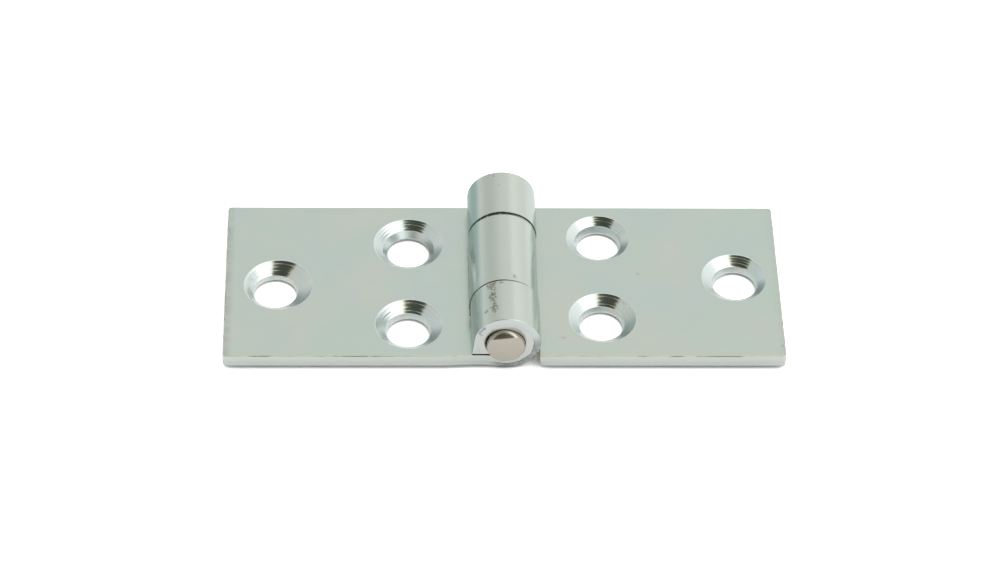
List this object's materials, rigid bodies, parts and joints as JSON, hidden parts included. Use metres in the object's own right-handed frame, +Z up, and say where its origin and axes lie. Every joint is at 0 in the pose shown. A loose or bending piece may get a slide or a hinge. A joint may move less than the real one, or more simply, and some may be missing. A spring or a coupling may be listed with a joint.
{
  "type": "butt hinge",
  "caption": "Zinc-plated butt hinge lying open: two flat rectangular leaves of pressed strip with countersunk holes, joined by rolled knuckles on a plain pin.",
  "frame": {"origin": "under the middle of the pin, at the lowest point of the knuckles, with the hinge lying open and flat", "axes": "+X across the leaves from the two-knuckle leaf to the one-knuckle leaf, +Y along the pin, +Z up out of the countersunk side"},
  "size_m": [0.08, 0.0318, 0.01],
  "materials": {
    "zinc_plate": "bright blue-passivated zinc on rolled steel strip",
    "pin_steel": "plain drawn steel, faintly warm"
  },
  "bodies": {
    "pinned_leaf": {"left_leaf": "zinc_plate", "pin": "pin_steel"},
    "swinging_leaf": {"right_leaf": "zinc_plate"}
  },
  "joints": [
    {"name": "leaf_swing", "type": "hinge", "parent": "pinned_leaf", "child": "swinging_leaf", "pos_m": [0, 0, 0.005], "axis": [0, 1, 0], "range_deg": [-186, 96]}
  ]
}
